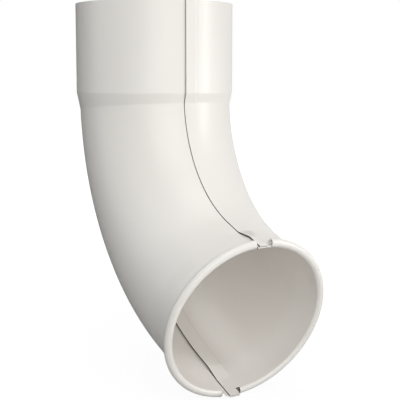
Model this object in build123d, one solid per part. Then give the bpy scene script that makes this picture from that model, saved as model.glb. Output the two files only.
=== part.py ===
from build123d import *
import os
from math import cos, degrees, radians, sin

# Downspout shoe: a round outlet elbow pressed from sheet steel as two half shells that lap each other
# along the throat (inside of the bend) and the heel (outside of the bend). The downpipe enters the
# socket at the top, and the mouth at the bottom ends in a rolled bead.
# Frame: origin at the centre of the socket's top edge, +Z up the downpipe, +X the way the outlet points.

# Sheet and tube
SHEET = 0.7
SOCKET_BORE_R = 50.7
BODY_BORE_R = 48.6

# Path of the tube's centre line
SOCKET_LENGTH = 57.0
BEND_R = 128.0
BEND_ANGLE = 70.0
SHOULDER_LENGTH = 9.5
TAIL_LENGTH = 29.7

# Lap seams: one half's strip lies outside the other half's flange
THROAT_LAP = 7.0
HEEL_LAP = 9.2
LAP_CLEARANCE = 0.1
STRIP_JOGGLE = 1.5
FLANGE_JOGGLE = 0.9
EDGE_CLEARANCE = 0.45
SEAM_TURN = -2.0

# In the tail the seams step from a sunk flange to a raised strip, which is trimmed and stands off
RAMP_LENGTH = 12.5
RAISED_END_LENGTH = 9.5
STRIP_TRIM = 1.7
STRIP_STANDOFF = 0.6

# Rolled bead at the mouth, cut away across the seams, where flat lips stay
BEAD_R = 2.92
CURL_ANGLE = 300.0
CURL_ARCS = 3
CURL_TIGHTENING = 0.2
NOTCH_MARGIN = 1.0
THROAT_LIP = 1.8
HEEL_LIP = 6.0

LAP_STEP = SHEET + LAP_CLEARANCE


def turn(width):
    """The angle about the body's centre line that a width on its wall takes."""
    return degrees(width / BODY_BORE_R)


def polar(radius, angle):
    return (radius * cos(radians(angle)), radius * sin(radians(angle)))


def section_plane(bend, beyond=0.0):
    """Plane across the tube where it has turned by bend degrees, and further down a straight run.

    X points to the throat, Y to the right half, Z up the tube.
    """
    throat = Vector(cos(radians(bend)), 0, sin(radians(bend)))
    upstream = Vector(-sin(radians(bend)), 0, cos(radians(bend)))
    bend_centre = Vector(BEND_R, 0, -SOCKET_LENGTH)
    origin = bend_centre - throat * BEND_R - upstream * beyond
    return Plane(origin=origin, x_dir=throat, z_dir=upstream)


def half_angles(half):
    """Angles round the tube where one half changes level, from its strip's edge to its flange's edge."""
    start = half["start"]
    strip = half["strip lap"] + EDGE_CLEARANCE
    return {
        "strip edge": start,
        "strip end": start + turn(strip),
        "wall start": start + turn(strip + STRIP_JOGGLE),
        "bead start": start + turn(strip + STRIP_JOGGLE + NOTCH_MARGIN),
        "wall end": start + 180 - turn(EDGE_CLEARANCE + FLANGE_JOGGLE),
        "flange start": start + 180 - turn(EDGE_CLEARANCE),
        "flange edge": start + 180 + turn(half["flange lap"]),
    }


def wall_section(steps, bore_r):
    """Face of bent sheet that follows (angle, offset) steps round a bore."""
    inner = [(bore_r + offset, angle) for angle, offset in steps]
    outer = [(radius + SHEET, angle) for radius, angle in inner]
    edges = []
    for line in (inner, outer):
        for (radius_a, angle_a), (radius_b, angle_b) in zip(line, line[1:]):
            middle = polar((radius_a + radius_b) / 2, (angle_a + angle_b) / 2)
            edges.append(ThreePointArc(polar(radius_a, angle_a), middle, polar(radius_b, angle_b)))
    for end in (0, -1):
        edges.append(Line(polar(*inner[end]), polar(*outer[end])))
    return make_face(edges)


def half_section(half, bore_r, strip_lift, flange_lift, trim=0.0):
    """A half's whole section, with its strip and its flange lifted off the bore."""
    at = half_angles(half)
    steps = [
        (at["strip edge"] + turn(trim), strip_lift),
        (at["strip end"], strip_lift),
        (at["wall start"], 0),
        (at["wall end"], 0),
        (at["flange start"], flange_lift),
        (at["flange edge"], flange_lift),
    ]
    return wall_section(steps, bore_r)


def raised_section(half):
    """In the socket the strip lies a sheet higher than the wall."""
    return half_section(half, SOCKET_BORE_R, LAP_STEP, 0)


def sunk_section(half):
    """In the elbow the flange lies a sheet lower than the wall, and the strip is level with it."""
    return half_section(half, BODY_BORE_R, 0, -LAP_STEP)


def mouth_section(half):
    """At the mouth the trimmed strip stands off the other half's flange."""
    return half_section(half, BODY_BORE_R, LAP_STEP + STRIP_STANDOFF, 0, STRIP_TRIM)


def socket(half):
    return extrude(section_plane(0) * raised_section(half), SOCKET_LENGTH)


def shoulder(half, bend):
    """Narrows the socket to the body, and takes the seams from raised to sunk."""
    top = section_plane(0) * raised_section(half)
    bottom = section_plane(bend) * sunk_section(half)
    return loft([top, bottom], ruled=True)


def elbow(half, bend):
    face = section_plane(bend) * sunk_section(half)
    bend_axis = Axis((BEND_R, 0, -SOCKET_LENGTH), (0, -1, 0))
    return revolve(face, bend_axis, BEND_ANGLE - bend)


def tail(half):
    """Straight run to the mouth: seams sunk, then a ramp, then seams raised."""
    sunk_length = TAIL_LENGTH - RAMP_LENGTH - RAISED_END_LENGTH
    sunk = sunk_section(half)
    raised = mouth_section(half)
    ramp_top = section_plane(BEND_ANGLE, sunk_length)
    ramp_bottom = section_plane(BEND_ANGLE, sunk_length + RAMP_LENGTH)
    straight = extrude(section_plane(BEND_ANGLE) * sunk, -sunk_length)
    ramp = loft([ramp_top * sunk, ramp_bottom * raised], ruled=True)
    end = extrude(ramp_bottom * raised, -RAISED_END_LENGTH)
    return straight + ramp + end


def curl_line(inset):
    """One side of the rolled sheet, in arcs that tighten as it turns from the bore's wall."""
    arcs = []
    start, direction = (BODY_BORE_R + inset, 0), (0, -1)
    for number in range(CURL_ARCS):
        radius = BEAD_R - inset - CURL_TIGHTENING * number
        arc = JernArc(start, direction, radius, CURL_ANGLE / CURL_ARCS)
        arcs.append(arc)
        start, direction = arc @ 1, arc % 1
    return arcs


def bead(half):
    """Sheet rolled outward from the bore's wall, about the mouth's axis."""
    at = half_angles(half)
    outside = curl_line(0)
    inside = curl_line(SHEET)
    root = Line(outside[0] @ 0, inside[0] @ 0)
    free_edge = Line(outside[-1] @ 1, inside[-1] @ 1)
    upright = Plane(origin=(0, 0, 0), x_dir=(1, 0, 0), z_dir=(0, -1, 0))
    profile = upright * make_face(outside + inside + [root, free_edge])
    ring = revolve(profile, Axis.Z, at["flange start"] - at["bead start"])
    return section_plane(BEND_ANGLE, TAIL_LENGTH) * (Rot(0, 0, at["bead start"]) * ring)


def lips(half):
    """Flat ends of the seams, where the sheet isn't rolled."""
    at = half_angles(half)
    lift = LAP_STEP + STRIP_STANDOFF
    strip_steps = [
        (at["strip edge"] + turn(STRIP_TRIM), lift),
        (at["strip end"], lift),
        (at["wall start"], 0),
        (at["bead start"], 0),
    ]
    flange_steps = [(at["flange start"], 0), (at["flange edge"], 0)]
    mouth = section_plane(BEND_ANGLE, TAIL_LENGTH)
    strip_lip = extrude(mouth * wall_section(strip_steps, BODY_BORE_R), -half["strip lip"])
    flange_lip = extrude(mouth * wall_section(flange_steps, BODY_BORE_R), -half["flange lip"])
    return strip_lip, flange_lip


def half_shell(half):
    shoulder_bend = degrees(SHOULDER_LENGTH / BEND_R)
    shell = socket(half) + shoulder(half, shoulder_bend) + elbow(half, shoulder_bend) + tail(half)
    shell += bead(half)
    for lip in lips(half):
        shell += lip
    return shell


def main():
    throat_start = SEAM_TURN - turn(THROAT_LAP) / 2
    halves = {
        "right_half": {
            "start": throat_start,
            "strip lap": THROAT_LAP,
            "flange lap": HEEL_LAP,
            "strip lip": THROAT_LIP,
            "flange lip": HEEL_LIP,
        },
        "left_half": {
            "start": throat_start + 180,
            "strip lap": HEEL_LAP,
            "flange lap": THROAT_LAP,
            "strip lip": HEEL_LIP,
            "flange lip": THROAT_LIP,
        },
    }
    os.makedirs("parts", exist_ok=True)
    for name, half in halves.items():
        shell = half_shell(half)
        shell.label = name
        export_step(shell, "parts/" + name + ".step")


main()
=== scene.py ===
from math import atan2, ceil, cos, pi, radians, sin

import bmesh
import bpy
from mathutils import Matrix, Vector


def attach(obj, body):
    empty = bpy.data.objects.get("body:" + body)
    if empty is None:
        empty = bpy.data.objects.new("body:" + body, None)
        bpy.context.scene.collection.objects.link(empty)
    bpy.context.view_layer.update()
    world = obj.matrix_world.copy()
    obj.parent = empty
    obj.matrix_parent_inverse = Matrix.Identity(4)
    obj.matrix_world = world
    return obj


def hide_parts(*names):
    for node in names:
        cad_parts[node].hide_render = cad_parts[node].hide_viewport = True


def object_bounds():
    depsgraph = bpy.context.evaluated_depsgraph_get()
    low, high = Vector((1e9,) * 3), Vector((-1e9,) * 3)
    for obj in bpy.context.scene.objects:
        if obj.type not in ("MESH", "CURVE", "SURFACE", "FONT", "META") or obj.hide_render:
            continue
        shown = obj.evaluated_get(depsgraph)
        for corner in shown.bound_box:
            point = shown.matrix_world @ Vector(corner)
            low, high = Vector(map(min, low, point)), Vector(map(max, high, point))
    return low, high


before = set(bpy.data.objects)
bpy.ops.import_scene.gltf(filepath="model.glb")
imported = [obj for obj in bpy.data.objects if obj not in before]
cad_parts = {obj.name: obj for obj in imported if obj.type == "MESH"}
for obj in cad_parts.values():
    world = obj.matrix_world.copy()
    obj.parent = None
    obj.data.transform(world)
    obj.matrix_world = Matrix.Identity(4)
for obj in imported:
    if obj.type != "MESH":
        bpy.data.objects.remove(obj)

# Downspout shoe of two half shells, in metres: origin at the centre of the socket's top edge, +Z up
# the downpipe, +X the way the outlet points

CAD_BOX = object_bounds()

# Camera, seen from the socket's top centre: the outlet points along +X
CAMERA_AZIMUTH = 27.957
CAMERA_DISTANCE = 0.654794
CAMERA_HEIGHT = -0.044222
CAMERA_YAW = 2.637
CAMERA_PITCH = 7.427
PICTURE_WIDTH = 400
FOCAL_PIXELS = 978.183
SENSOR_WIDTH = 36.0
CLIP_START = 0.01

# Studio: lamps as azimuth, elevation, distance, width, height, watts and colour
LAMPS = {
    "key_box": (18, 25, 1.8, 1.5, 2.2, 18.4, (1, 0.993, 0.985)),
    "low_left_box": (35, -2, 0.9, 1.0, 0.16, 1.2, (0.95, 1.02, 1)),
    "low_right_box": (-30, -2, 0.9, 0.8, 0.16, 0.9, (1, 1, 0.98)),
    "low_side_box": (-60, -2, 0.9, 0.8, 0.16, 1.0, (0.98, 1, 1)),
    "right_strip": (-51, 8, 1.8, 0.2, 1.4, 9.0, (1, 1, 1)),
    "top_box": (0, 89, 1.8, 1.4, 1.4, 10.9, (0.985, 1, 0.98)),
    "left_box": (100, 45, 1.8, 1.0, 1.2, 3.1, (1, 1, 1)),
    "back_box": (130, 40, 1.8, 1.0, 1.6, 2.9, (0.96, 0.99, 1.05)),
}
WORLD_LEVEL = 0.1
WORLD_COLOUR = (0.9, 1, 1.06, 1)
WHITE = (1, 1, 1, 1)
FLOOR_SIZE = 6.0
FLOOR_GAP = 0.0005
FLOOR_COLOUR = (0.6, 0.6, 0.6, 1)
FLOOR_WHITE = 1.12
FLOOR_SHADOW_SHARE = 0.16
FLOOR_SHADOW_REACH = (0.1, 0.45)

# Dark cards that only the paint's gloss sees, as azimuth, distance and size: behind the shoe on the
# camera's left
STANDING_CARD = (178, 0.24, 0.6)
LYING_CARD = (150, 0.28, 0.8)
CARD_LEVEL = 0.07

# Sheet and tube
SHEET = 0.0007
SOCKET_BORE_R = 0.0507
BODY_BORE_R = 0.0486

# Path of the tube's centre line
SOCKET_LENGTH = 0.057
BEND_R = 0.128
BEND_ANGLE = radians(70)
SHOULDER_LENGTH = 0.0095
SHOULDER_BEND = SHOULDER_LENGTH / BEND_R
TAIL_LENGTH = 0.0305

# In the tail a ramp takes the seams from sunk to raised, tilted to start further down at the throat
RAMP_LENGTH = 0.0125
RAMP_TILT = radians(-2.1)
RAISED_END_LENGTH = 0.0103
SUNK_LENGTH = TAIL_LENGTH - RAMP_LENGTH - RAISED_END_LENGTH

# Lap seams: one half's strip lies outside the other half's flange
THROAT_LAP = 0.007
HEEL_LAP = 0.0092
LAP_CLEARANCE = 0.0001
LAP_STEP = SHEET + LAP_CLEARANCE
HEEL_SUNK_CLEARANCE = 0.00045
HEEL_SUNK_STEP = SHEET + HEEL_SUNK_CLEARANCE
STRIP_JOGGLE = 0.0004
MOUTH_JOGGLE = 0.0012
FLANGE_JOGGLE = 0.0004
EDGE_CLEARANCE = 0.00045
STRIP_TRIM = 0.0017
STRIP_STANDOFF = 0.0003
SEAM_TURN = radians(-2)
THROAT_START = SEAM_TURN - THROAT_LAP / BODY_BORE_R / 2

# Rolled bead at the mouth, in bends of radius and degrees: it is cut away across the seams, where
# flat lips stay
MOUTH_FLARE = 0.0005
MOUTH_BORE_R = BODY_BORE_R + MOUTH_FLARE
CURL_BENDS = ((0.0015, 40), (0.0025, 80), (0.0024, 90), (0.0022, 90))
NOTCH_MARGIN = 0.0016
THROAT_LIP = 0.001
HEEL_LIP = 0.0052
THROAT_RELIEF = 0.0012
HEEL_RELIEF = 0.0026

HALVES = {
    "right_half": {
        "start": THROAT_START,
        "strip lap": THROAT_LAP,
        "flange lap": HEEL_LAP,
        "flange sunk": HEEL_SUNK_STEP,
        "strip lip": THROAT_LIP,
        "flange lip": HEEL_LIP,
        "flange relief": HEEL_RELIEF,
    },
    "left_half": {
        "start": THROAT_START + pi,
        "strip lap": HEEL_LAP,
        "flange lap": THROAT_LAP,
        "flange sunk": LAP_STEP,
        "strip lip": HEEL_LIP,
        "flange lip": THROAT_LIP,
        "flange relief": THROAT_RELIEF,
    },
}

# Smoothness of the modelled sheet: steps round the tube, then down it, then degrees of the curl
WALL_STEPS = 60
STRIP_STEPS = 4
SOCKET_STEPS = 6
ELBOW_STEPS = 32
SUNK_STEPS = 2
RAISED_END_STEPS = 3
CURL_STEP = 12

# Rounding of creases, of the sheet's bends and of its edges
CREASE_EASE = 0.0008
CREASE_STEPS = 3
SHEET_BEND_EASE = 0.00015
STRIP_BEND_EASE = 0.0006
BEND_STEPS = 2
EASED_EDGE = 0.00007
EASED_STEPS = 2
EASED_ANGLE = radians(60)

# Tolerances of the tests that find points, in metres and radians
POINT_REACH = 0.00001
WELD_REACH = 0.000005
ANGLE_REACH = 0.0002
START_MARGIN = 0.1

# Finishes: features per metre, and heights and reach in metres
GRAIN_DETAIL = 3
GRAIN_MIDDLE = 0.5
PAINT_COLOUR = (0.822, 0.782, 0.742)
PAINT_ROUGHNESS = (0.285, 0.345)
FILM_PATCHES = 18
FILM_CONTRAST = 0.015
PEEL_BUMPS = 700
PEEL_HEIGHT = 0.000015
# Painted shade in the laps and corners, from ambient occlusion: its reach, strength and samples
SHADE_REACH = 0.0016
SHADE_STRENGTH = 0.5
SHADE_SAMPLES = 8
# Cut edges: dull steel, made near black so that they also paint the shade in the seams' gaps
BARE_EDGE_AND_SHADE_COLOUR = (0.048, 0.034, 0.027)
BARE_METALLIC = 0.3
BARE_ROUGHNESS = (0.4, 0.7)
SHEAR_MARKS = 2500
SHEAR_CONTRAST = 0.5
SHEAR_HEIGHT = 0.00005

BEND_CENTRE = Vector((BEND_R, 0, -SOCKET_LENGTH))


def compass(azimuth, elevation):
    """Direction from the shoe, with azimuth turning from the outlet to the left half."""
    a, e = radians(azimuth), radians(elevation)
    return Vector((cos(a) * cos(e), -sin(a) * cos(e), sin(e)))


def make_camera():
    level = compass(CAMERA_AZIMUTH + CAMERA_YAW, 0)
    back = compass(CAMERA_AZIMUTH + CAMERA_YAW, CAMERA_PITCH)
    right = Vector((0, 0, 1)).cross(level)
    up = back.cross(right)
    lens = bpy.data.cameras.new("camera")
    lens.sensor_width = SENSOR_WIDTH
    lens.lens = FOCAL_PIXELS / PICTURE_WIDTH * SENSOR_WIDTH
    lens.clip_start = CLIP_START
    camera = bpy.data.objects.new("camera", lens)
    place = compass(CAMERA_AZIMUTH, 0) * CAMERA_DISTANCE + Vector((0, 0, CAMERA_HEIGHT))
    turned = Matrix((right, up, back)).transposed().to_4x4()
    camera.matrix_world = Matrix.Translation(place) @ turned
    bpy.context.scene.collection.objects.link(camera)
    bpy.context.scene.camera = camera


def facing_shoe(azimuth, elevation, distance):
    """Place and turn of something that looks at the middle of the shoe along its own -Z."""
    away = compass(azimuth, elevation)
    side = Vector((0, 0, 1)).cross(compass(azimuth, 0))
    turned = Matrix((side, away.cross(side), away)).transposed().to_4x4()
    middle = (CAD_BOX[0] + CAD_BOX[1]) / 2
    return Matrix.Translation(middle + away * distance) @ turned


def make_softbox(name, azimuth, elevation, distance, width, height, watts, colour):
    data = bpy.data.lights.new(name, "AREA")
    data.shape = "RECTANGLE"
    data.size = width
    data.size_y = height
    data.energy = watts
    data.color = colour
    lamp = bpy.data.objects.new(name, data)
    lamp.matrix_world = facing_shoe(azimuth, elevation, distance)
    bpy.context.scene.collection.objects.link(lamp)


def seen_rays(nodes, links):
    """1 for rays from the camera and for rays that a gloss or a glass sends on, else 0."""
    path = nodes.new("ShaderNodeLightPath")
    glossy = nodes.new("ShaderNodeMath")
    glossy.operation = "MAXIMUM"
    links.new(path.outputs["Is Camera Ray"], glossy.inputs[0])
    links.new(path.outputs["Is Glossy Ray"], glossy.inputs[1])
    seen = nodes.new("ShaderNodeMath")
    seen.operation = "MAXIMUM"
    links.new(glossy.outputs["Value"], seen.inputs[0])
    links.new(path.outputs["Is Transmission Ray"], seen.inputs[1])
    return seen.outputs["Value"]


def make_world():
    world = bpy.data.worlds.new("studio")
    world.use_nodes = True
    bpy.context.scene.world = world
    nodes, links = world.node_tree.nodes, world.node_tree.links
    nodes.clear()
    out = nodes.new("ShaderNodeOutputWorld")
    soft = nodes.new("ShaderNodeBackground")
    white = nodes.new("ShaderNodeBackground")
    soft.inputs["Strength"].default_value = WORLD_LEVEL
    soft.inputs["Color"].default_value = WORLD_COLOUR
    white.inputs["Color"].default_value = WHITE
    mix = nodes.new("ShaderNodeMixShader")
    links.new(seen_rays(nodes, links), mix.inputs["Fac"])
    links.new(soft.outputs["Background"], mix.inputs[1])
    links.new(white.outputs["Background"], mix.inputs[2])
    links.new(mix.outputs["Shader"], out.inputs["Surface"])


def floor_material():
    """Pale floor that the camera and the gloss see as white, with the shoe's faint shadow."""
    material = bpy.data.materials.new("pale_floor")
    material.use_nodes = True
    nodes, links = material.node_tree.nodes, material.node_tree.links
    nodes.clear()
    out = nodes.new("ShaderNodeOutputMaterial")
    paper = nodes.new("ShaderNodeBsdfDiffuse")
    paper.inputs["Color"].default_value = FLOOR_COLOUR
    white = nodes.new("ShaderNodeEmission")
    white.inputs["Strength"].default_value = FLOOR_WHITE
    place = nodes.new("ShaderNodeTexCoord")
    reach = nodes.new("ShaderNodeVectorMath")
    reach.operation = "LENGTH"
    links.new(place.outputs["Object"], reach.inputs[0])
    share = nodes.new("ShaderNodeMapRange")
    share.interpolation_type = "SMOOTHSTEP"
    near, far = FLOOR_SHADOW_REACH
    share.inputs["From Min"].default_value = near
    share.inputs["From Max"].default_value = far
    share.inputs["To Min"].default_value = 1 - FLOOR_SHADOW_SHARE
    share.inputs["To Max"].default_value = 1
    links.new(reach.outputs["Value"], share.inputs["Value"])
    seen_share = nodes.new("ShaderNodeMath")
    seen_share.operation = "MULTIPLY"
    links.new(seen_rays(nodes, links), seen_share.inputs[0])
    links.new(share.outputs["Result"], seen_share.inputs[1])
    mix = nodes.new("ShaderNodeMixShader")
    links.new(seen_share.outputs["Value"], mix.inputs["Fac"])
    links.new(paper.outputs["BSDF"], mix.inputs[1])
    links.new(white.outputs["Emission"], mix.inputs[2])
    links.new(mix.outputs["Shader"], out.inputs["Surface"])
    return material


def make_floor():
    level = CAD_BOX[0].z - FLOOR_GAP
    bpy.ops.mesh.primitive_plane_add(size=FLOOR_SIZE, location=(0, 0, level))
    floor = bpy.context.object
    floor.name = "floor"
    floor.data.materials.append(floor_material())


def card_material():
    material = bpy.data.materials.new("dark_card")
    material.use_nodes = True
    nodes, links = material.node_tree.nodes, material.node_tree.links
    nodes.clear()
    out = nodes.new("ShaderNodeOutputMaterial")
    dim = nodes.new("ShaderNodeEmission")
    dim.inputs["Strength"].default_value = CARD_LEVEL
    links.new(dim.outputs["Emission"], out.inputs["Surface"])
    return material


def make_dark_card(name, material, place, size):
    """Card that darkens the shoe's left edge in the paint's gloss, as a flag does in a studio."""
    bpy.ops.mesh.primitive_plane_add(size=size)
    card = bpy.context.object
    card.name = name
    card.matrix_world = place
    card.visible_camera = False
    card.visible_diffuse = False
    card.visible_transmission = False
    card.visible_shadow = False
    card.data.materials.append(material)


def turn(width):
    """The angle about the body's centre line that a width on its wall takes."""
    return width / BODY_BORE_R


def on_circle(radius, angle):
    return Vector((radius * cos(angle), radius * sin(angle), 0))


def to_throat(bend):
    """Direction across the tube to its throat, where it has turned by bend."""
    return Vector((cos(bend), 0, sin(bend)))


def up_tube(bend):
    return Vector((-sin(bend), 0, cos(bend)))


def centre_at(bend, beyond=0.0):
    """Centre of the tube where it has turned by bend, and further down a straight run."""
    return BEND_CENTRE - to_throat(bend) * BEND_R - up_tube(bend) * beyond


def half_angles(half):
    """Angles round the tube where one half changes level, from its strip's to its flange's edge."""
    start = half["start"]
    strip = half["strip lap"] + EDGE_CLEARANCE
    return {
        "strip edge": start,
        "trimmed edge": start + turn(STRIP_TRIM),
        "strip end": start + turn(strip),
        "mouth strip end": start + turn(strip + STRIP_JOGGLE - MOUTH_JOGGLE),
        "wall start": start + turn(strip + STRIP_JOGGLE),
        "bead start": start + turn(strip + STRIP_JOGGLE + NOTCH_MARGIN),
        "wall end": start + pi - turn(EDGE_CLEARANCE + FLANGE_JOGGLE),
        "flange start": start + pi - turn(EDGE_CLEARANCE),
        "lip start": start + pi - turn(EDGE_CLEARANCE - half["flange relief"]),
        "flange edge": start + pi + turn(half["flange lap"]),
    }


def pick(piece, test):
    """Selects the points that pass a test of their place, and nothing else."""
    bpy.ops.mesh.select_all(action="DESELECT")
    mesh = bmesh.from_edit_mesh(piece.data)
    for point in mesh.verts:
        if test(point.co):
            point.select_set(True)
    mesh.select_flush_mode()
    bmesh.update_edit_mesh(piece.data)


def on_section(bend, beyond=0.0, reach=POINT_REACH):
    """Test for places on the section where the tube has turned by bend, and further down a run."""
    centre, upstream = centre_at(bend, beyond), up_tube(bend)
    return lambda place: abs((place - centre).dot(upstream)) < reach


def ramp_heel():
    """Where the ramp starts at the heel, about which its upper end is tilted."""
    return centre_at(BEND_ANGLE, SUNK_LENGTH) - to_throat(BEND_ANGLE) * BODY_BORE_R


def on_ramp_top(place):
    return abs((place - ramp_heel()).dot(up_tube(BEND_ANGLE + RAMP_TILT))) < POINT_REACH


def draw_section(half, bore, strip_lift, flange_lift, first="strip edge", last="strip end"):
    """Line of the sheet's bore side across one half, from the strip's edge to the flange's."""
    at = half_angles(half)
    corners = [
        on_circle(bore + strip_lift, at[last]),
        on_circle(bore, at["wall start"]),
        on_circle(bore, at["wall end"]),
        on_circle(bore + flange_lift, at["flange start"]),
    ]
    bpy.ops.mesh.primitive_plane_add(size=SHEET, location=(0, 0, 0))
    line = bpy.context.object
    bpy.ops.object.mode_set(mode="EDIT")
    bpy.context.tool_settings.mesh_select_mode = (True, False, False)
    bpy.ops.mesh.merge(type="CENTER")
    bpy.ops.transform.translate(value=on_circle(bore + strip_lift, at[first]))
    draw_round(at[last] - at[first], STRIP_STEPS)
    extend(corners[1] - corners[0])
    draw_round(at["bead start"] - at["wall start"], 1)
    draw_round(at["wall end"] - at["bead start"], WALL_STEPS)
    extend(corners[3] - corners[2])
    draw_round(at["lip start"] - at["flange start"], 1)
    draw_round(at["flange edge"] - at["lip start"], STRIP_STEPS)
    round_bends(line, corners[1:], SHEET_BEND_EASE)
    round_bends(line, corners[:1], STRIP_BEND_EASE)
    bpy.ops.mesh.select_all(action="SELECT")
    return line


def extend(way):
    """Extrudes what is selected straight along a way."""
    bpy.ops.mesh.extrude_region_move(TRANSFORM_OT_translate={"value": way})


def draw_round(angle, steps):
    bpy.ops.mesh.spin(steps=steps, angle=angle, center=(0, 0, 0), axis=(0, 0, -1))


def round_bends(line, corners, width):
    pick(line, lambda place: min((place - corner).length for corner in corners) < POINT_REACH)
    bpy.ops.mesh.bevel(offset=width, segments=BEND_STEPS, affect="VERTICES")


def set_across(bend, beyond=0.0):
    """Carries a section that was drawn at the socket's top to its place down the tube."""
    bpy.ops.transform.translate(value=(0, 0, -SOCKET_LENGTH - beyond))
    bpy.ops.transform.rotate(value=bend, orient_axis="Y", center_override=BEND_CENTRE)


def run_down(bend, length, steps):
    """Extrudes the selected edges straight down the tube."""
    for _ in range(steps):
        extend(-up_tube(bend) * length / steps)


def draw_socket(half):
    """Straight socket, whose strip lies a sheet higher than the wall."""
    line = draw_section(half, SOCKET_BORE_R, LAP_STEP, 0)
    run_down(0, SOCKET_LENGTH, SOCKET_STEPS)
    bpy.ops.object.mode_set(mode="OBJECT")
    return line


def draw_elbow(half):
    """The bend and the start of the tail, whose flange lies lower than the wall."""
    line = draw_section(half, BODY_BORE_R, 0, -half["flange sunk"])
    set_across(SHOULDER_BEND)
    angle = BEND_ANGLE - SHOULDER_BEND
    bpy.ops.mesh.spin(steps=ELBOW_STEPS, angle=angle, center=BEND_CENTRE, axis=(0, 1, 0))
    run_down(BEND_ANGLE, SUNK_LENGTH, SUNK_STEPS)
    bpy.ops.transform.rotate(value=RAMP_TILT, orient_axis="Y", center_override=ramp_heel())
    bpy.ops.object.mode_set(mode="OBJECT")
    return line


def draw_mouth(half):
    """End of the tail, slightly flared, whose trimmed strip stands off the other half's flange."""
    lift = LAP_STEP + STRIP_STANDOFF
    line = draw_section(half, MOUTH_BORE_R, lift, 0, "trimmed edge", "mouth strip end")
    set_across(BEND_ANGLE, SUNK_LENGTH + RAMP_LENGTH)
    run_down(BEND_ANGLE, RAISED_END_LENGTH, RAISED_END_STEPS)
    bpy.ops.object.mode_set(mode="OBJECT")
    return line


def bridge_sections(piece, upper, lower):
    pick(piece, lambda place: upper(place) or lower(place))
    bpy.ops.mesh.bridge_edge_loops()


def round_crease(piece, section, width):
    pick(piece, section)
    bpy.ops.mesh.bevel(offset=width, segments=CREASE_STEPS, affect="EDGES")


def angle_round_mouth(place, half):
    """Angle of a place round the mouth, counted on from the half's strip edge."""
    from_centre = place - centre_at(BEND_ANGLE, TAIL_LENGTH)
    angle = atan2(place.y, from_centre.dot(to_throat(BEND_ANGLE)))
    return half["start"] + (angle - half["start"] + START_MARGIN) % (2 * pi) - START_MARGIN


def pick_mouth(piece, half, first, last):
    """Selects the mouth's edge between two of the half's angles."""
    at_mouth = on_section(BEND_ANGLE, TAIL_LENGTH)
    at = half_angles(half)
    start, end = at[first] - ANGLE_REACH, at[last] + ANGLE_REACH

    def between(place):
        return at_mouth(place) and start < angle_round_mouth(place, half) < end

    pick(piece, between)


def roll_bead(piece, half):
    """Rolls the mouth's edge outward in short turns: a tight bend at the bore, then the curl.

    The edge is followed as its radius and its way down from the mouth.
    """
    centre, upstream = centre_at(BEND_ANGLE, TAIL_LENGTH), up_tube(BEND_ANGLE)
    pick_mouth(piece, half, "bead start", "flange start")
    edge = Vector((MOUTH_BORE_R, 0))
    to_middle = Vector((1, 0))
    for radius, angle in CURL_BENDS:
        middle = edge + to_middle * radius
        steps = ceil(angle / CURL_STEP)
        step_turn = Matrix.Rotation(-radians(angle) / steps, 2)
        for _ in range(steps):
            rolled = middle + step_turn @ (edge - middle)
            extend(upstream * (edge.y - rolled.y))
            wider = rolled.x / edge.x
            axis_point = centre - upstream * rolled.y
            bpy.ops.transform.resize(value=(wider, wider, wider), center_override=axis_point)
            edge = rolled
        to_middle = (middle - edge).normalized()


def draw_lips(piece, half):
    """Flat ends of the seams, where the sheet isn't rolled, cut free beside the bead's end."""
    pick_mouth(piece, half, "strip edge", "bead start")
    run_down(BEND_ANGLE, half["strip lip"], 1)
    pick_mouth(piece, half, "lip start", "flange edge")
    run_down(BEND_ANGLE, half["flange lip"], 1)


def face_outward(piece):
    """Turns all faces one way, which in the socket is away from the downpipe's axis."""
    bpy.ops.mesh.select_all(action="SELECT")
    bpy.ops.mesh.normals_make_consistent(inside=False)
    mesh = bmesh.from_edit_mesh(piece.data)
    outward = 0.0
    for face in mesh.faces:
        middle = face.calc_center_median()
        if middle.z > -SOCKET_LENGTH:
            outward += face.normal.dot(middle * Vector((1, 1, 0)))
    if outward < 0:
        bpy.ops.mesh.flip_normals()


def give_thickness(piece):
    """Turns the bore side into sheet, with the cut edges as their own finish and eased corners."""
    sheet = piece.modifiers.new("sheet", "SOLIDIFY")
    sheet.thickness = SHEET
    sheet.offset = 1
    sheet.use_even_offset = True
    sheet.material_offset_rim = 1
    eased = piece.modifiers.new("eased_edges", "BEVEL")
    eased.width = EASED_EDGE
    eased.segments = EASED_STEPS
    eased.limit_method = "ANGLE"
    eased.angle_limit = EASED_ANGLE
    normals = piece.modifiers.new("level_normals", "WEIGHTED_NORMAL")
    normals.keep_sharp = True
    for modifier in (sheet, eased, normals):
        bpy.ops.object.modifier_apply(modifier=modifier.name)


def half_shell(name, half):
    bpy.ops.object.select_all(action="DESELECT")
    runs = [draw_socket(half), draw_elbow(half), draw_mouth(half)]
    bpy.ops.object.select_all(action="DESELECT")
    for line in runs:
        line.select_set(True)
    piece = runs[0]
    bpy.context.view_layer.objects.active = piece
    bpy.ops.object.join()
    piece.name = piece.data.name = name
    bpy.ops.object.mode_set(mode="EDIT")
    shoulder_top, shoulder_bottom = on_section(0), on_section(SHOULDER_BEND)
    ramp_bottom = on_section(BEND_ANGLE, SUNK_LENGTH + RAMP_LENGTH)
    bridge_sections(piece, shoulder_top, shoulder_bottom)
    bridge_sections(piece, on_ramp_top, ramp_bottom)
    roll_bead(piece, half)
    draw_lips(piece, half)
    for section in (shoulder_top, shoulder_bottom, on_ramp_top, ramp_bottom):
        round_crease(piece, section, CREASE_EASE)
    bpy.ops.mesh.select_all(action="SELECT")
    bpy.ops.mesh.remove_doubles(threshold=WELD_REACH)
    face_outward(piece)
    bpy.ops.object.mode_set(mode="OBJECT")
    bpy.ops.object.shade_smooth()
    return piece


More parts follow.
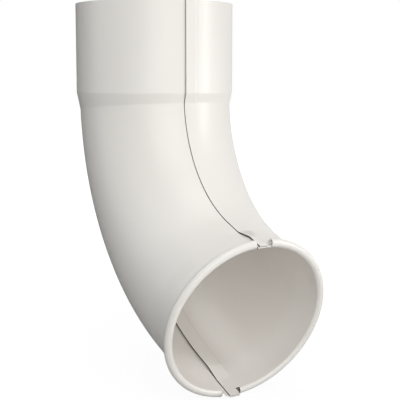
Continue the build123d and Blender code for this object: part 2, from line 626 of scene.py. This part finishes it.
def paint_ends(piece, half):
    """Paints the socket's top edge, the lips' ends and the cut between the strip and the bead.

    Only the edges along the seams and the cut beside the flange stay bare, and their near-black
    finish also paints the shade of the seams' gaps and of the bead's hollow end.
    """
    near_mouth = on_section(BEND_ANGLE, TAIL_LENGTH, RAISED_END_LENGTH)
    bead_start = half_angles(half)["bead start"]
    reach = turn(2 * EASED_EDGE)

    def on_strip_cut(place):
        return near_mouth(place) and abs(angle_round_mouth(place, half) - bead_start) < reach

    lips = [half["strip lip"], half["flange lip"]]
    ends = [on_section(BEND_ANGLE, TAIL_LENGTH + lip, EASED_EDGE) for lip in lips]
    ends += [on_section(0, -SOCKET_LENGTH, EASED_EDGE), on_strip_cut]
    bpy.ops.object.mode_set(mode="EDIT")
    bpy.ops.mesh.select_all(action="DESELECT")
    mesh = bmesh.from_edit_mesh(piece.data)
    for face in mesh.faces:
        if any(at_end(face.calc_center_median()) for at_end in ends):
            face.select_set(True)
    bmesh.update_edit_mesh(piece.data)
    piece.active_material_index = 0
    bpy.ops.object.material_slot_assign()
    bpy.ops.object.mode_set(mode="OBJECT")


def number_group(name, inputs, outputs):
    """Empty node group whose named sockets all carry numbers."""
    group = bpy.data.node_groups.new(name, "ShaderNodeTree")
    for socket in inputs:
        group.interface.new_socket(socket, in_out="INPUT", socket_type="NodeSocketFloat")
    for socket in outputs:
        group.interface.new_socket(socket, in_out="OUTPUT", socket_type="NodeSocketFloat")
    return group


def sheet_grain():
    """Node group with the unevenness that the paint and the bare metal share, at any size."""
    group = number_group("sheet_grain", ["Features per Metre", "Contrast"], ["Shade", "Height"])
    nodes, links = group.nodes, group.links
    given = nodes.new("NodeGroupInput")
    result = nodes.new("NodeGroupOutput")
    place = nodes.new("ShaderNodeTexCoord")
    noise = nodes.new("ShaderNodeTexNoise")
    noise.inputs["Detail"].default_value = GRAIN_DETAIL
    links.new(place.outputs["Object"], noise.inputs["Vector"])
    links.new(given.outputs["Features per Metre"], noise.inputs["Scale"])
    links.new(noise.outputs["Fac"], result.inputs["Height"])
    centred = nodes.new("ShaderNodeMath")
    centred.operation = "SUBTRACT"
    centred.inputs[1].default_value = GRAIN_MIDDLE
    links.new(noise.outputs["Fac"], centred.inputs[0])
    shade = nodes.new("ShaderNodeMath")
    shade.operation = "MULTIPLY_ADD"
    shade.inputs[2].default_value = 1
    links.new(centred.outputs["Value"], shade.inputs[0])
    links.new(given.outputs["Contrast"], shade.inputs[1])
    links.new(shade.outputs["Value"], result.inputs["Shade"])
    return group


def painted_crevice_shade():
    """Node group of painted shade: darkens the laps and corners by how much ambient occlusion finds
    hidden within reach.
    """
    group = number_group("painted_crevice_shade", ["Reach", "Strength"], ["Shade"])
    nodes, links = group.nodes, group.links
    given = nodes.new("NodeGroupInput")
    result = nodes.new("NodeGroupOutput")
    open_sky = nodes.new("ShaderNodeAmbientOcclusion")
    open_sky.samples = SHADE_SAMPLES
    links.new(given.outputs["Reach"], open_sky.inputs["Distance"])
    hidden = nodes.new("ShaderNodeMath")
    hidden.operation = "SUBTRACT"
    hidden.inputs[1].default_value = 1
    links.new(open_sky.outputs["AO"], hidden.inputs[0])
    shade = nodes.new("ShaderNodeMath")
    shade.operation = "MULTIPLY_ADD"
    shade.inputs[2].default_value = 1
    links.new(hidden.outputs["Value"], shade.inputs[0])
    links.new(given.outputs["Strength"], shade.inputs[1])
    links.new(shade.outputs["Value"], result.inputs["Shade"])
    return group


def add_crevice_shade(nodes, group):
    crevice_shade = nodes.new("ShaderNodeGroup")
    crevice_shade.node_tree = group
    crevice_shade.inputs["Reach"].default_value = SHADE_REACH
    crevice_shade.inputs["Strength"].default_value = SHADE_STRENGTH
    return crevice_shade


def add_grain(nodes, group, features_per_metre, contrast):
    grain = nodes.new("ShaderNodeGroup")
    grain.node_tree = group
    grain.inputs["Features per Metre"].default_value = features_per_metre
    grain.inputs["Contrast"].default_value = contrast
    return grain


def shaded_colour(nodes, links, colour, *shades):
    """The colour times two shades that vary over the surface: an uneven tone and the painted shade
    of the crevices.
    """
    both = nodes.new("ShaderNodeMath")
    both.operation = "MULTIPLY"
    for number, shade in enumerate(shades):
        links.new(shade, both.inputs[number])
    tint = nodes.new("ShaderNodeVectorMath")
    tint.operation = "SCALE"
    tint.inputs[0].default_value = colour
    links.new(both.outputs["Value"], tint.inputs["Scale"])
    return tint.outputs["Vector"]


def spread(nodes, links, value, low, high):
    """Maps a value between 0 and 1 to the range from low to high."""
    stretch = nodes.new("ShaderNodeMapRange")
    stretch.inputs["To Min"].default_value = low
    stretch.inputs["To Max"].default_value = high
    links.new(value, stretch.inputs["Value"])
    return stretch.outputs["Result"]


def add_bump(nodes, links, height, distance):
    bump = nodes.new("ShaderNodeBump")
    bump.inputs["Distance"].default_value = distance
    links.new(height, bump.inputs["Height"])
    return bump.outputs["Normal"]


def paint_material(grain, crevice_shade):
    """Warm white satin paint: a film of slightly uneven gloss with a fine orange peel."""
    material = bpy.data.materials.new("warm_white_paint")
    material.use_nodes = True
    nodes, links = material.node_tree.nodes, material.node_tree.links
    shader = nodes["Principled BSDF"]
    film = add_grain(nodes, grain, FILM_PATCHES, FILM_CONTRAST)
    peel = add_grain(nodes, grain, PEEL_BUMPS, 0)
    # Painted shade: the paint darkens in the laps and corners by ambient occlusion
    painted_shade = add_crevice_shade(nodes, crevice_shade)
    shades = film.outputs["Shade"], painted_shade.outputs["Shade"]
    colour = shaded_colour(nodes, links, PAINT_COLOUR, *shades)
    roughness = spread(nodes, links, film.outputs["Height"], *PAINT_ROUGHNESS)
    normal = add_bump(nodes, links, peel.outputs["Height"], PEEL_HEIGHT)
    links.new(colour, shader.inputs["Base Color"])
    links.new(roughness, shader.inputs["Roughness"])
    links.new(normal, shader.inputs["Normal"])
    return material


def bare_edge_and_shade_material(grain, crevice_shade):
    """Dark, dull steel of the cut edges, uneven from the shears, made near black so that it also
    paints the shade in the seams' gaps.
    """
    material = bpy.data.materials.new("bare_edge_and_gap_shade")
    material.use_nodes = True
    nodes, links = material.node_tree.nodes, material.node_tree.links
    shader = nodes["Principled BSDF"]
    shader.inputs["Metallic"].default_value = BARE_METALLIC
    shear = add_grain(nodes, grain, SHEAR_MARKS, SHEAR_CONTRAST)
    # Painted shade: the cut edges darken in the laps and corners by ambient occlusion
    painted_shade = add_crevice_shade(nodes, crevice_shade)
    shades = shear.outputs["Shade"], painted_shade.outputs["Shade"]
    colour = shaded_colour(nodes, links, BARE_EDGE_AND_SHADE_COLOUR, *shades)
    roughness = spread(nodes, links, shear.outputs["Height"], *BARE_ROUGHNESS)
    normal = add_bump(nodes, links, shear.outputs["Height"], SHEAR_HEIGHT)
    links.new(colour, shader.inputs["Base Color"])
    links.new(roughness, shader.inputs["Roughness"])
    links.new(normal, shader.inputs["Normal"])
    return material


bpy.ops.object.select_all(action="DESELECT")
make_camera()
make_world()
for name, settings in LAMPS.items():
    make_softbox(name, *settings)
make_floor()
dark = card_material()
azimuth, distance, size = STANDING_CARD
make_dark_card("standing_card", dark, facing_shoe(azimuth, 0, distance), size)
azimuth, distance, size = LYING_CARD
on_floor = compass(azimuth, 0) * distance + Vector((0, 0, CAD_BOX[0].z))
make_dark_card("lying_card", dark, Matrix.Translation(on_floor), size)
grain = sheet_grain()
crevice_shade = painted_crevice_shade()
paint = paint_material(grain, crevice_shade)
bare_edge_shade = bare_edge_and_shade_material(grain, crevice_shade)
for name, half in HALVES.items():
    shell = half_shell(name + "_shell", half)
    shell.data.materials.append(paint)
    shell.data.materials.append(bare_edge_shade)
    give_thickness(shell)
    paint_ends(shell, half)
    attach(shell, "root")
    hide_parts(name)
bpy.context.scene.view_settings.view_transform = "Standard"
